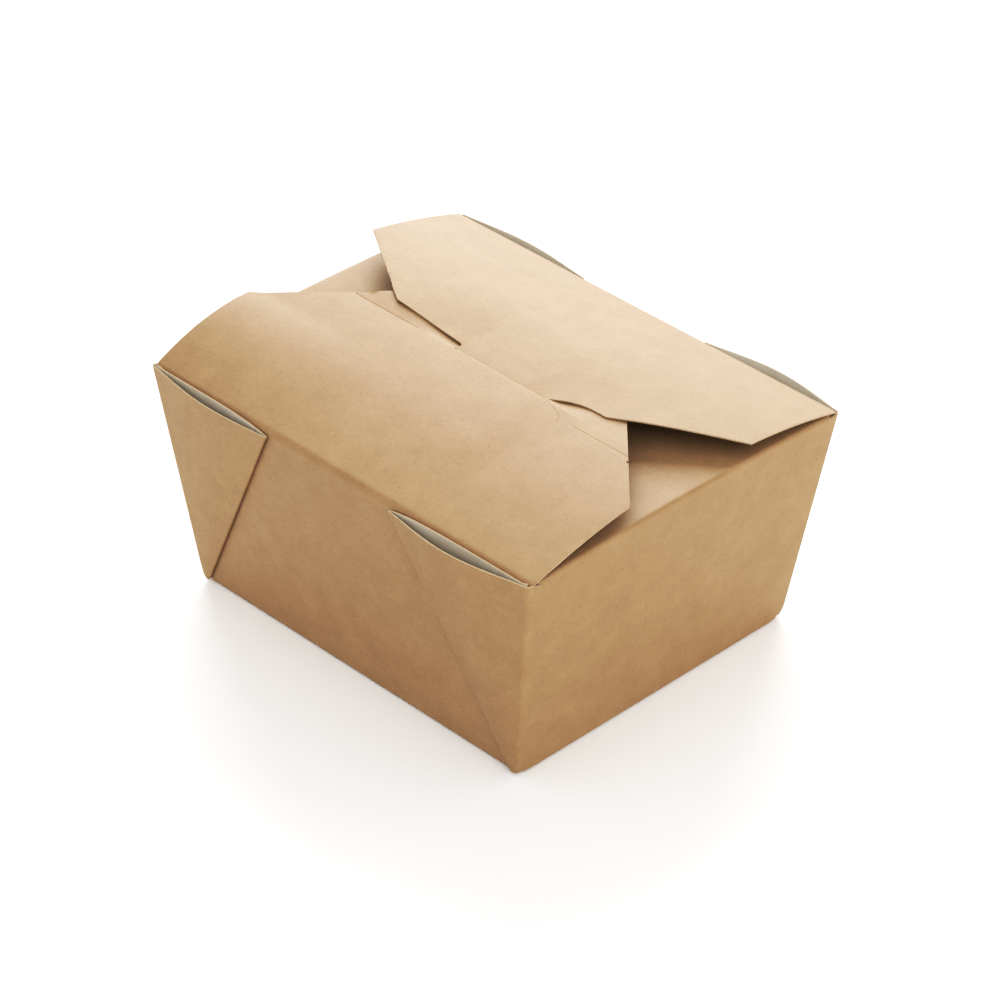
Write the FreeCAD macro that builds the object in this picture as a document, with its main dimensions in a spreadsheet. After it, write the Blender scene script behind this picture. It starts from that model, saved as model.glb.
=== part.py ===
import FreeCAD, Part

import math
import os
import re

import Sketcher

# Folded card takeaway box, millimetres, +Z up, X along the long side.
# The origin is the middle of the base, on the surface that the box stands on.
# The tray, its corner gussets, the end flaps and the slotted flap are one folded sheet.
# The locking flap is the same sheet, and is a body of its own because it opens.

SIZES = (
    ("base_length", 114.0, "outside length of the base"),
    ("base_width", 92.5, "outside width of the base"),
    ("top_length", 132.0, "outside length at the top of the walls"),
    ("top_width", 105.5, "outside width at the top of the walls"),
    ("tray_height", 63.0, "height of the walls"),
    ("card", 0.4, "thickness of the coated card"),
    ("fold_radius", 0.8, "outside radius of the folds around the base"),
    ("crease_gap", 0.1, "gap at the crease of the flap that opens"),
    ("reach_front_left", 41.0, "front left gusset, from its corner to its tip"),
    ("reach_front_right", 47.0, "front right gusset, from its corner to its tip"),
    ("reach_back", 45.0, "back gussets, from their corners to their tips"),
    ("gusset_foot", 1.3, "width of a gusset at the base"),
    ("gusset_drop", 0.8, "how far the tip of a gusset lies below the wall's top"),
    ("gusset_bulge", 2.6, "how far the outer layer of a gusset bows open"),
    ("pocket_start", 4.0, "height at which the two layers of a gusset part"),
    ("end_length", 42.0, "end flap, from its crease to its free edge"),
    ("end_side_gap", 2.75, "end flap, from its sides to the outside of the long walls"),
    ("end_bevel", 16.0, "end flap, size of its cut corners"),
    ("slotted_inset", 1.0, "slotted flap, from the box's corners to the ends of its crease"),
    ("slotted_flare", 1.5, "slotted flap, how far its corners stand out past the crease"),
    ("slotted_side", 31.85, "slotted flap, length of its straight sides"),
    ("slotted_crown", 7.0, "slotted flap, height of its arch above the crease"),
    ("arch_offset", 5.0, "slotted flap, top of its arch, in front of the middle of the box"),
    ("score_offset", 2.2, "slotted flap, score line, in front of the middle of the box"),
    ("tail_length", 14.2, "slotted flap, tail beyond the score line"),
    ("tail_fall", 2.0, "slotted flap, how far the end of the tail lies below the score"),
    ("nick_radius", 0.6, "slotted flap, radius of the nicks in its cut corners"),
    ("nick_setback", 2.1, "slotted flap, from the nicks to the score line"),
    ("lock_inset", 0.6, "locking flap, from the box's corners to the ends of its crease"),
    ("lock_side", 31.25, "locking flap, length of its straight sides"),
    ("lock_lift", 1.0, "how far the locking flap's arch lies above the slotted flap's"),
    ("shoulder_half", 36.5, "locking flap, from the middle to the ends of the shoulders"),
    ("left_shoulder_place", 2.2, "outer end of the left shoulder, from the middle of the box"),
    ("left_shoulder_slant", 1.45, "how far the left shoulder leans towards the tongue"),
    ("right_shoulder_place", 3.2, "right shoulder, from the middle of the box"),
    ("right_shoulder_end", 32.5, "right shoulder, where its curve starts"),
    ("right_shoulder_radius", 15.0, "right shoulder, radius of its curve"),
    ("right_shoulder_turn", 28.0, "right shoulder, turn of its curve in degrees"),
    ("tongue_left", 11.75, "tongue, from the middle to its left side"),
    ("tongue_right", 18.5, "tongue, from the middle to its right side at the slit"),
    ("tongue_root", 2.0, "where the tongue bends down, from the middle of the box"),
    ("tongue_hidden", 11.6, "tongue, length beyond the slit"),
    ("tongue_corner", 4.0, "tongue, radius of its corners"),
    ("notch_radius", 0.8, "round notch beside the tongue"),
    ("slit_side_gap", 0.6, "room beside the tongue in the slit"),
    ("slit_clearance", 0.15, "room between the tongue and the card above and below it"),
    ("hook_place", 22.6, "slit, from the middle to the hooked cut at its right end"),
    ("hook_length", 1.9, "small hooked cut at the right end of the slit"),
    ("hook_width", 0.3, "width of the hooked cut"),
)

doc = FreeCAD.newDocument("takeaway_box")
sheet = doc.addObject("Spreadsheet::Sheet", "Sizes")
for row, (alias, size, meaning) in enumerate(SIZES, start=1):
    sheet.set(f"A{row}", alias)
    sheet.set(f"B{row}", str(size))
    sheet.set(f"C{row}", meaning)
    sheet.setAlias(f"B{row}", alias)
doc.recompute()

ALIAS = re.compile(r"\b(" + "|".join(alias for alias, size, meaning in SIZES) + r")\b")

# Planes that the sketches lie in.
LEVEL = FreeCAD.Rotation()
UPRIGHT = FreeCAD.Rotation(
    FreeCAD.Vector(0, 1, 0), FreeCAD.Vector(0, 0, 1), FreeCAD.Vector(1, 0, 0), "XYZ"
)


def value(formula):
    """Work a formula out with the sizes of the sheet."""
    return float(sheet.evalExpression(formula))


def bind(item, formulas):
    """Tie the properties of an object to formulas of the sheet's sizes."""
    for name, formula in formulas.items():
        item.setExpression(name, ALIAS.sub(r"Sizes.\1", formula))


def arc_between(start, end, radius, turn):
    """The short arc from start to end, turning left (1) or right (-1)."""
    chord = end - start
    side = FreeCAD.Vector(-chord.y, chord.x, 0).normalize() * turn
    middle = (start + end) * 0.5
    centre = middle + side * math.sqrt(max(radius ** 2 - (chord.Length / 2) ** 2, 0))
    first, last = (start, end) if turn > 0 else (end, start)
    angles = [math.atan2(spot.y - centre.y, spot.x - centre.x) for spot in (first, last)]
    circle = Part.Circle(centre, FreeCAD.Vector(0, 0, 1), radius)
    return Part.ArcOfCircle(circle, angles[0], angles[1])


def outline(name, corners, arcs=None, rotation=LEVEL, place=None):
    """A closed sketch through corners given as formulas.

    arcs maps the number of an edge to the formula of its radius and its turn.
    """
    arcs = arcs or {}
    sketch = doc.addObject("Sketcher::SketchObject", name)
    spots = [FreeCAD.Vector(value(across), value(along), 0) for across, along in corners]
    starts = []
    for number, start in enumerate(spots):
        end = spots[(number + 1) % len(spots)]
        if number in arcs:
            radius, turn = arcs[number]
            sketch.addGeometry(arc_between(start, end, value(radius), turn), False)
            starts.append(1 if turn > 0 else 2)
        else:
            sketch.addGeometry(Part.LineSegment(start, end), False)
            starts.append(1)
    for number, corner in enumerate(corners):
        before = (number - 1) % len(corners)
        sketch.addConstraint(
            Sketcher.Constraint("Coincident", before, 3 - starts[before], number, starts[number])
        )
        spot = spots[number]
        for kind, formula, size in (("DistanceX", corner[0], spot.x), ("DistanceY", corner[1], spot.y)):
            rule = Sketcher.Constraint(kind, -1, 1, number, starts[number], size)
            index = sketch.addConstraint(rule)
            title = f"{kind}{number}"
            sketch.renameConstraint(index, title)
            bind(sketch, {f"Constraints.{title}": formula})
        if number in arcs:
            radius = arcs[number][0]
            index = sketch.addConstraint(Sketcher.Constraint("Radius", number, value(radius)))
            title = f"Radius{number}"
            sketch.renameConstraint(index, title)
            bind(sketch, {f"Constraints.{title}": radius})
    sketch.Placement = FreeCAD.Placement(FreeCAD.Vector(0, 0, 0), rotation)
    bind(sketch, {f"Placement.Base.{axis}": formula for axis, formula in (place or {}).items()})
    return sketch


def extrusion(name, sketch, direction, forward, backward="0"):
    """A solid pulled from a sketch both ways along a direction."""
    solid = doc.addObject("Part::Extrusion", name)
    solid.Base = sketch
    solid.DirMode = "Custom"
    solid.Dir = direction
    solid.Solid = True
    bind(solid, {"LengthFwd": forward, "LengthRev": backward})
    return solid


def loft(name, sections):
    """A solid with straight lines from one section to the next."""
    solid = doc.addObject("Part::Loft", name)
    solid.Sections = sections
    solid.Solid = True
    solid.Ruled = True
    return solid


def joined(name, pieces):
    """One solid out of pieces that run into each other."""
    whole = doc.addObject("Part::MultiFuse", name)
    whole.Shapes = pieces
    whole.Refine = True
    return whole


def shared(name, pieces):
    """What all the pieces have in common."""
    whole = doc.addObject("Part::MultiCommon", name)
    whole.Shapes = pieces
    return whole


def cut(name, base, tool):
    """Base without tool."""
    rest = doc.addObject("Part::Cut", name)
    rest.Base = base
    rest.Tool = tool
    return rest


# Tray: base and four walls that lean outwards, with rounded folds around the base.

LENGTH_LEAN = "(top_length - base_length) / 2 / tray_height"
WIDTH_LEAN = "(top_width - base_width) / 2 / tray_height"


def frustum(name, bottom, wall, radius):
    """The block inside the four leaning walls, set in by wall and filleted at its bottom."""
    block = doc.addObject("Part::Wedge", name + "Block")
    block.Placement = FreeCAD.Placement(
        FreeCAD.Vector(0, 0, 0), FreeCAD.Rotation(FreeCAD.Vector(1, 0, 0), 90)
    )
    low_length = f"(base_length / 2 + {LENGTH_LEAN} * {bottom} - {wall})"
    low_width = f"(base_width / 2 + {WIDTH_LEAN} * {bottom} - {wall})"
    top_length = f"(top_length / 2 - {wall})"
    top_width = f"(top_width / 2 - {wall})"
    bind(block, {
        "Ymin": bottom,
        "Ymax": "tray_height",
        "Xmin": f"-{low_length}",
        "Xmax": low_length,
        "Zmin": f"-{low_width}",
        "Zmax": low_width,
        "X2min": f"-{top_length}",
        "X2max": top_length,
        "Z2min": f"-{top_width}",
        "Z2max": top_width,
    })
    doc.recompute()
    rounded = doc.addObject("Part::Fillet", name)
    rounded.Base = block
    edge_radius = value(radius)
    rounded.Edges = [
        (number, edge_radius, edge_radius)
        for number, edge in enumerate(block.Shape.Edges, start=1)
        if edge.BoundBox.ZMax < value(bottom) + edge_radius
    ]
    return rounded


tray = cut(
    "Tray",
    frustum("TrayOutside", "0", "0", "fold_radius"),
    frustum("TrayInside", "card", "card", "fold_radius - card"),
)


# Corner gussets: the web between two walls, folded outwards against a long wall.
# The inner layer lies on the wall and the outer layer bows away from it at the top.

FOOT_LENGTH = f"(base_length / 2 + {LENGTH_LEAN} * fold_radius)"
FOOT_WIDTH = f"(base_width / 2 + {WIDTH_LEAN} * fold_radius)"
APEX_LENGTH = f"(base_length / 2 + {LENGTH_LEAN} * pocket_start)"
APEX_WIDTH = f"(base_width / 2 + {WIDTH_LEAN} * pocket_start)"


def bow_radius(chord):
    """The radius of an arc over a chord that rises by the gusset's bulge."""
    return f"(({chord}) ^ 2 / 4 + gusset_bulge ^ 2) / (2 * gusset_bulge)"


def gusset(name, side_x, side_y, reach):
    """One gusset on the corner at the signs side_x and side_y."""
    turn = -side_x * side_y
    tilt = FreeCAD.Rotation(FreeCAD.Vector(0, -side_x, 0), 1)
    rim_place = {"x": f"{side_x} * top_length / 2", "z": "tray_height"}
    tilt_formula = {"Placement.Rotation.Angle": f"asin(gusset_drop / {reach})"}

    def section(title, corner, width, half, rotation, place, arcs):
        outer = f"{side_y} * ({half} + 2 * card)"
        corners = [
            (f"{corner} - {side_x} * {width}", outer),
            (f"{corner} - {side_x} * 2 * card", outer),
            (corner, f"{side_y} * {half}"),
            (corner, f"{side_y} * ({half} - card / 2)"),
            (f"{corner} - {side_x} * {width}", f"{side_y} * ({half} - card / 2)"),
        ]
        return outline(name + title, corners, arcs, rotation, place)

    corner_arc = {1: ("2 * card", turn)}
    foot = section(
        "Foot", f"{side_x} * {FOOT_LENGTH}", "gusset_foot", FOOT_WIDTH,
        LEVEL, {"z": "fold_radius"}, corner_arc,
    )
    bow = {0: (bow_radius(f"{reach} - 2 * card"), turn)}
    rim = section("Rim", "0", reach, "top_width / 2", tilt, rim_place, {**bow, **corner_arc})
    bind(rim, tilt_formula)

    inner = f"{side_y} * (top_width / 2 + card)"
    mouth_ends = [
        (f"-{side_x} * ({reach} - 2 * card)", inner),
        (f"-{side_x} * 2 * card", inner),
    ]
    mouth_bow = {0: (bow_radius(f"{reach} - 4 * card"), turn)}
    mouth = outline(name + "Mouth", mouth_ends, mouth_bow, tilt, rim_place)
    bind(mouth, tilt_formula)
    apex = doc.addObject("Part::Vertex", name + "Apex")
    bind(apex, {
        "X": f"{side_x} * ({APEX_LENGTH} - 2 * card)",
        "Y": f"{side_y} * ({APEX_WIDTH} + card)",
        "Z": "pocket_start",
    })
    return cut(name, loft(name + "Web", [foot, rim]), loft(name + "Pocket", [apex, mouth]))


gussets = [
    gusset("GussetFrontLeft", -1, -1, "reach_front_left"),
    gusset("GussetFrontRight", 1, -1, "reach_front_right"),
    gusset("GussetBackLeft", -1, 1, "reach_back"),
    gusset("GussetBackRight", 1, 1, "reach_back"),
]


# End flaps: folded in first, level, with their far corners cut off.

def end_flap(name, side):
    """The flap on the end wall at the sign side."""
    crease = f"{side} * top_length / 2"
    corner = f"{side} * (top_length / 2 - end_length + end_bevel)"
    tip = f"{side} * (top_length / 2 - end_length)"
    half = "(top_width / 2 - end_side_gap)"
    tip_half = f"({half} - end_bevel)"
    corners = [
        (crease, f"-{half}"),
        (crease, half),
        (corner, half),
        (tip, tip_half),
        (tip, f"-{tip_half}"),
        (corner, f"-{half}"),
    ]
    sketch = outline(name + "Outline", corners, place={"z": "tray_height - card"})
    return extrusion(name, sketch, FreeCAD.Vector(0, 0, 1), "card")


end_flaps = [end_flap("EndFlapLeft", -1), end_flap("EndFlapRight", 1)]


# Slotted flap: hinged on the front wall, arched, with a score line and a slit for the tongue.

ARCH_RISE = "(top_width / 2 - arch_offset)"
ARCH_RADIUS = f"(({ARCH_RISE} ^ 2 + slotted_crown ^ 2) / (2 * slotted_crown))"
ARCH_CENTRE = f"(tray_height + slotted_crown - {ARCH_RADIUS})"
TAIL_PLACE = "(tail_length - score_offset)"


def arch_level(radius, place):
    """Height of the slotted flap's arch of that radius at a place along Y."""
    return f"({ARCH_CENTRE} + sqrt(({radius}) ^ 2 - ({place} + arch_offset) ^ 2))"


ARCH_UNDER = f"({ARCH_RADIUS} - card)"
SCORE_TOP = arch_level(ARCH_RADIUS, "-score_offset")
SCORE_UNDER = arch_level(ARCH_UNDER, "-score_offset")
SLOTTED_HINGE_HALF = "(top_length / 2 - slotted_inset)"
SLOTTED_HALF = f"({SLOTTED_HINGE_HALF} + slotted_flare)"
slotted_section = extrusion(
    "SlottedSection",
    outline(
        "SlottedProfile",
        [
            ("-top_width / 2", "tray_height"),
            ("-score_offset", SCORE_TOP),
            (TAIL_PLACE, f"{SCORE_TOP} - tail_fall"),
            (TAIL_PLACE, f"{SCORE_UNDER} - tail_fall"),
            ("-score_offset", SCORE_UNDER),
            ("-top_width / 2", arch_level(ARCH_UNDER, "-top_width / 2")),
        ],
        {0: (ARCH_RADIUS, -1), 4: (ARCH_UNDER, 1)},
        UPRIGHT,
    ),
    FreeCAD.Vector(1, 0, 0), SLOTTED_HALF, SLOTTED_HALF,
)

SLOTTED_CORNER = "(slotted_side - top_width / 2)"
SLOTTED_END = f"({SLOTTED_HALF} - ({TAIL_PLACE} - {SLOTTED_CORNER}))"
slotted_outline = outline(
    "SlottedOutline",
    [
        (f"-{SLOTTED_HINGE_HALF}", "-top_width / 2"),
        (SLOTTED_HINGE_HALF, "-top_width / 2"),
        (SLOTTED_HALF, SLOTTED_CORNER),
        (SLOTTED_END, TAIL_PLACE),
        (f"-{SLOTTED_END}", TAIL_PLACE),
        (f"-{SLOTTED_HALF}", SLOTTED_CORNER),
    ],
    place={"z": "tray_height - card"},
)
slotted_plan = extrusion(
    "SlottedPlan", slotted_outline, FreeCAD.Vector(0, 0, 1), "2 * slotted_crown + card", "card"
)

# The tongue leaves the locking flap's arch at its root and dives through the slit.
AXIS_PLACE = "(top_width / 2 - card / 2)"
AXIS_LEVEL = "(tray_height + crease_gap + card / 2)"
LOCK_CROWN = f"(tray_height + slotted_crown + lock_lift - {AXIS_LEVEL})"
LOCK_RADIUS = f"(({AXIS_PLACE} ^ 2 + {LOCK_CROWN} ^ 2) / (2 * {LOCK_CROWN}))"
LOCK_CENTRE = f"({AXIS_LEVEL} + {LOCK_CROWN} - {LOCK_RADIUS})"
LOCK_OVER = f"({LOCK_RADIUS} + card / 2)"
LOCK_UNDER = f"({LOCK_RADIUS} - card / 2)"
ROOT_TOP = f"({LOCK_CENTRE} + sqrt({LOCK_OVER} ^ 2 - tongue_root ^ 2))"
ROOT_UNDER = f"({LOCK_CENTRE} + sqrt({LOCK_UNDER} ^ 2 - tongue_root ^ 2))"
SLIT_FRONT = "(-score_offset - card / 2)"
PANEL_UNDER = arch_level(ARCH_UNDER, SLIT_FRONT)
TONGUE_SLOPE = f"(({ROOT_TOP} - {PANEL_UNDER} + slit_clearance) / (tongue_root - {SLIT_FRONT}))"

# The side of the tongue runs from the slit to the curve of the right shoulder.
CURVE_START = "(right_shoulder_end - right_shoulder_radius * sin(right_shoulder_turn * 1 deg))"
CURVE_LEVEL = "(right_shoulder_place - right_shoulder_radius * (1 - cos(right_shoulder_turn * 1 deg)))"
SIDE_RUN = f"(({CURVE_START} - tongue_right) / ({CURVE_LEVEL} - {SLIT_FRONT}))"

# The tail starts where the tongue is clear above it, so the slit is open as far as that.
TAIL_SLOPE = "(tail_fall / tail_length)"
TAIL_START = f"({SCORE_TOP} - {TAIL_SLOPE} * score_offset - {ROOT_UNDER} + slit_clearance)"
SLIT_BACK = f"(({TAIL_START} + {TONGUE_SLOPE} * tongue_root) / ({TONGUE_SLOPE} + {TAIL_SLOPE}))"
SLIT_LEFT = "(-tongue_left - slit_side_gap)"
SLIT_NEAR = "(tongue_right + slit_side_gap)"
SLIT_FAR = f"({SLIT_NEAR} + {SIDE_RUN} * ({SLIT_BACK} - {SLIT_FRONT}))"
HOOK_FOOT = f"({SLIT_FRONT} - hook_length)"
slit_outline = outline(
    "SlitOutline",
    [
        (SLIT_LEFT, SLIT_FRONT),
        ("hook_place", SLIT_FRONT),
        ("hook_place + 2 * hook_width", HOOK_FOOT),
        ("hook_place + 3 * hook_width", HOOK_FOOT),
        ("hook_place + hook_width", f"{SLIT_FRONT} + hook_width"),
        (f"{SLIT_NEAR} + {SIDE_RUN} * hook_width", f"{SLIT_FRONT} + hook_width"),
        (SLIT_FAR, SLIT_BACK),
        (SLIT_LEFT, SLIT_BACK),
    ],
    place={"z": "tray_height"},
)
slit = extrusion("Slit", slit_outline, FreeCAD.Vector(0, 0, 1), "2 * slotted_crown")


def nick(name, side):
    """A small round nick in the cut corner of the slotted flap at the sign side."""
    place = "(-score_offset - nick_setback)"
    cutter = doc.addObject("Part::Cylinder", name)
    bind(cutter, {
        "Radius": "nick_radius",
        "Height": "2 * slotted_crown",
        "Placement.Base.x": f"{side} * ({SLOTTED_HALF} - ({place} - {SLOTTED_CORNER}))",
        "Placement.Base.y": place,
        "Placement.Base.z": "tray_height",
    })
    return cutter


slotted_cuts = joined("SlottedCuts", [slit, nick("NickLeft", -1), nick("NickRight", 1)])
slotted_flap = cut("SlottedFlap", shared("SlottedSheet", [slotted_section, slotted_plan]), slotted_cuts)

carton = joined("carton", [tray, *gussets, *end_flaps, slotted_flap])


# Locking flap: hinged over the back wall, arched, its tongue through the slit.

LOCK_HALF = "(top_length / 2 - lock_inset)"
TONGUE_END = f"({SLIT_FRONT} - tongue_hidden)"
TONGUE_FALL = f"({TONGUE_SLOPE} * (tongue_root - {TONGUE_END}))"


def crease_end(radius):
    """The spot at the crease on the arch of that radius."""
    across = f"{radius} * {AXIS_PLACE} / {LOCK_RADIUS}"
    level = f"{LOCK_CENTRE} + {radius} * ({AXIS_LEVEL} - {LOCK_CENTRE}) / {LOCK_RADIUS}"
    return across, level


lock_section = extrusion(
    "LockSection",
    outline(
        "LockProfile",
        [
            ("tongue_root", ROOT_TOP),
            crease_end(LOCK_OVER),
            crease_end(LOCK_UNDER),
            ("tongue_root", ROOT_UNDER),
            (TONGUE_END, f"{ROOT_UNDER} - {TONGUE_FALL}"),
            (TONGUE_END, f"{ROOT_TOP} - {TONGUE_FALL}"),
        ],
        {0: (LOCK_OVER, -1), 2: (LOCK_UNDER, 1)},
        UPRIGHT,
    ),
    FreeCAD.Vector(1, 0, 0), LOCK_HALF, LOCK_HALF,
)

LOCK_CORNER = "(top_width / 2 - lock_side)"
SHOULDER_INNER = "(left_shoulder_place - left_shoulder_slant)"
lock_outline = outline(
    "LockOutline",
    [
        (f"-{LOCK_HALF}", f"{AXIS_PLACE} + card"),
        (f"-{LOCK_HALF}", LOCK_CORNER),
        ("-shoulder_half", "left_shoulder_place"),
        ("-tongue_left", SHOULDER_INNER),
        ("-tongue_left", f"{TONGUE_END} + tongue_corner"),
        ("-tongue_left + tongue_corner", TONGUE_END),
        ("tongue_right - tongue_corner", TONGUE_END),
        ("tongue_right", f"{TONGUE_END} + tongue_corner"),
        ("tongue_right", SLIT_FRONT),
        (CURVE_START, CURVE_LEVEL),
        ("right_shoulder_end", "right_shoulder_place"),
        ("shoulder_half", "right_shoulder_place"),
        (LOCK_HALF, LOCK_CORNER),
        (LOCK_HALF, f"{AXIS_PLACE} + card"),
    ],
    {4: ("tongue_corner", 1), 6: ("tongue_corner", 1), 9: ("right_shoulder_radius", -1)},
    place={"z": "tray_height"},
)
lock_plan = extrusion("LockPlan", lock_outline, FreeCAD.Vector(0, 0, 1), f"2 * {LOCK_CROWN}")

notch = doc.addObject("Part::Cylinder", "Notch")
bind(notch, {
    "Radius": "notch_radius",
    "Height": f"2 * {LOCK_CROWN}",
    "Placement.Base.x": "-tongue_left - notch_radius / 3",
    "Placement.Base.y": f"{SHOULDER_INNER} + notch_radius / 3",
    "Placement.Base.z": "tray_height",
})
lock_sheet = cut("LockSheet", shared("LockBlank", [lock_section, lock_plan]), notch)

# The crease is a rounded edge about the axis that the flap turns on.
crease = doc.addObject("Part::Cylinder", "Crease")
crease.Placement.Rotation = FreeCAD.Rotation(FreeCAD.Vector(0, 1, 0), 90)
bind(crease, {
    "Radius": "card / 2",
    "Height": f"2 * {LOCK_HALF}",
    "Placement.Base.x": f"-{LOCK_HALF}",
    "Placement.Base.y": AXIS_PLACE,
    "Placement.Base.z": AXIS_LEVEL,
})
locking_flap = joined("locking_flap", [lock_sheet, crease])

doc.recompute()

for item in doc.Objects:
    if "Invalid" in item.State or "Error" in item.State:
        raise RuntimeError(f"{item.Label} did not build: {item.State}")

os.makedirs("parts", exist_ok=True)
for piece in (carton, locking_flap):
    shape = piece.Shape
    if shape.isNull() or not shape.isValid() or len(shape.Solids) != 1:
        raise RuntimeError(f"{piece.Label} is not one valid solid")
    shape.exportStep(os.path.join("parts", piece.Label + ".step"))
    print(piece.Label, "volume", round(shape.Volume, 1), "faces", len(shape.Faces))
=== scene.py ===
import math

import bpy
from mathutils import Matrix, Vector
from mathutils.geometry import delaunay_2d_cdt


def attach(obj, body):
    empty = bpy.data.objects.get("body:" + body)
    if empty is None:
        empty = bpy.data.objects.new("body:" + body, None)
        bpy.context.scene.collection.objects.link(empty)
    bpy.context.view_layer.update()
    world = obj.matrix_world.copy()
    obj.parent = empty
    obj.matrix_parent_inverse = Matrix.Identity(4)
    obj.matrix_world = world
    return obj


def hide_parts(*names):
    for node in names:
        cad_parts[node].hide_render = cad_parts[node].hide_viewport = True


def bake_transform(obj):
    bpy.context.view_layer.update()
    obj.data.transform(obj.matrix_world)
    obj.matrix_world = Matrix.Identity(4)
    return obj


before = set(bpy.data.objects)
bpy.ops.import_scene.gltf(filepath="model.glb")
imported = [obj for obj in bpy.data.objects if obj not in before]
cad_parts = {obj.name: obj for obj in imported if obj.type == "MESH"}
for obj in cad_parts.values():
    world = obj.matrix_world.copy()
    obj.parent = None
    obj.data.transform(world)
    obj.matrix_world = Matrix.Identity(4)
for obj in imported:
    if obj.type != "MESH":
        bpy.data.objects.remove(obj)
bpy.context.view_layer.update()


# Tray: base, four leaning walls and the four gussets between them, all one folded sheet.
# The blank is brown kraft board with a thin pale coating on its inner face. The gusset webs
# are folded outwards in two layers against the long walls, and stay open at the top.

MM = 0.001
CARD = 0.4 * MM
BASE_LENGTH = 114.0 * MM
BASE_WIDTH = 92.5 * MM
TOP_LENGTH = 132.0 * MM
TOP_WIDTH = 105.5 * MM
TRAY_HEIGHT = 63.0 * MM
LENGTH_LEAN = (TOP_LENGTH - BASE_LENGTH) / 2 / TRAY_HEIGHT
WIDTH_LEAN = (TOP_WIDTH - BASE_WIDTH) / 2 / TRAY_HEIGHT
LAYER_GAP = 0.16 * MM
BASE_FOLD = 0.8 * MM
CORNER_BEND = 0.9 * MM
FRONT_FOLD = 2.0 * MM
FLAP_FOLD = 0.5 * MM
END_FOLD = 0.8 * MM
BOTTOM_ROUND = 3.2 * MM
BOTTOM_ROUND_HEIGHT = 6.0 * MM
GUSSET_FOOT = 2.5 * MM
FRONT_DROP = 1.6 * MM
BACK_DROP = 0.2 * MM
GUSSET_BULGE = 2.7 * MM
REACH_FRONT_LEFT = 42.2 * MM
REACH_FRONT_RIGHT = 47.0 * MM
REACH_BACK = 45.0 * MM
END_BOW = 1.3 * MM
FRONT_STAND = 0.4 * MM
BACK_STAND = -0.05 * MM
FRONT_TOP = TRAY_HEIGHT - CARD / 2 - 0.83 * FRONT_FOLD
BACK_TOP = TRAY_HEIGHT - 0.12 * MM
END_TOP = TRAY_HEIGHT - CARD / 2 - 1.15 * END_FOLD
WEB_START = 1.5 * CARD
DROP_CURVE = 6
BULGE_CURVE = 1.2
WORN_EDGE = 0.06 * MM
WORN_ANGLE = math.radians(60)
SHARP_ANGLE = math.radians(32)
PULP_LIGHT = (0.42, 0.280, 0.160, 1.0)
PULP_DARK = (0.36, 0.237, 0.129, 1.0)
SPECK_BROWN = (0.45, 0.32, 0.2, 1.0)
COATING_LIGHT = (0.65, 0.60, 0.52, 1.0)
COATING_DARK = (0.60, 0.55, 0.48, 1.0)
CUT_LIGHT = (0.48, 0.38, 0.27, 1.0)
CUT_DARK = (0.34, 0.25, 0.16, 1.0)


def kraft_nodes(material):
    """Shader node helpers for a board material: noise, colour ramps and colour mixes, with which
    kraft_board builds clouded pulp, fibres and dark specks.
    """
    material.use_nodes = True
    tree = material.node_tree
    shader = tree.nodes["Principled BSDF"]
    place = tree.nodes.new("ShaderNodeTexCoord")

    def noise(scale, detail, roughness=0.5, stretch=None, turn=0.0):
        source = place.outputs["Object"]
        if stretch:
            mapping = tree.nodes.new("ShaderNodeMapping")
            mapping.inputs["Rotation"].default_value = (0.0, 0.0, turn)
            mapping.inputs["Scale"].default_value = stretch
            tree.links.new(source, mapping.inputs["Vector"])
            source = mapping.outputs["Vector"]
        texture = tree.nodes.new("ShaderNodeTexNoise")
        texture.inputs["Scale"].default_value = scale
        texture.inputs["Detail"].default_value = detail
        texture.inputs["Roughness"].default_value = roughness
        tree.links.new(source, texture.inputs["Vector"])
        return texture.outputs["Fac"]

    def ramp(source, stops):
        node = tree.nodes.new("ShaderNodeValToRGB")
        node.color_ramp.elements[0].position = stops[0][0]
        node.color_ramp.elements[0].color = stops[0][1]
        node.color_ramp.elements[1].position = stops[1][0]
        node.color_ramp.elements[1].color = stops[1][1]
        tree.links.new(source, node.inputs["Fac"])
        return node.outputs["Color"]

    def blend_colour(kind, amount, first, second):
        node = tree.nodes.new("ShaderNodeMix")
        node.data_type = "RGBA"
        node.blend_type = kind
        for socket, source in (("Factor", amount), ("A", first), ("B", second)):
            target = next(i for i in node.inputs if i.name == socket and i.enabled)
            if isinstance(source, bpy.types.NodeSocket):
                tree.links.new(source, target)
            else:
                target.default_value = source
        return next(o for o in node.outputs if o.enabled)

    return tree, shader, noise, ramp, blend_colour


def grey(level):
    return (level, level, level, 1.0)


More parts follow.
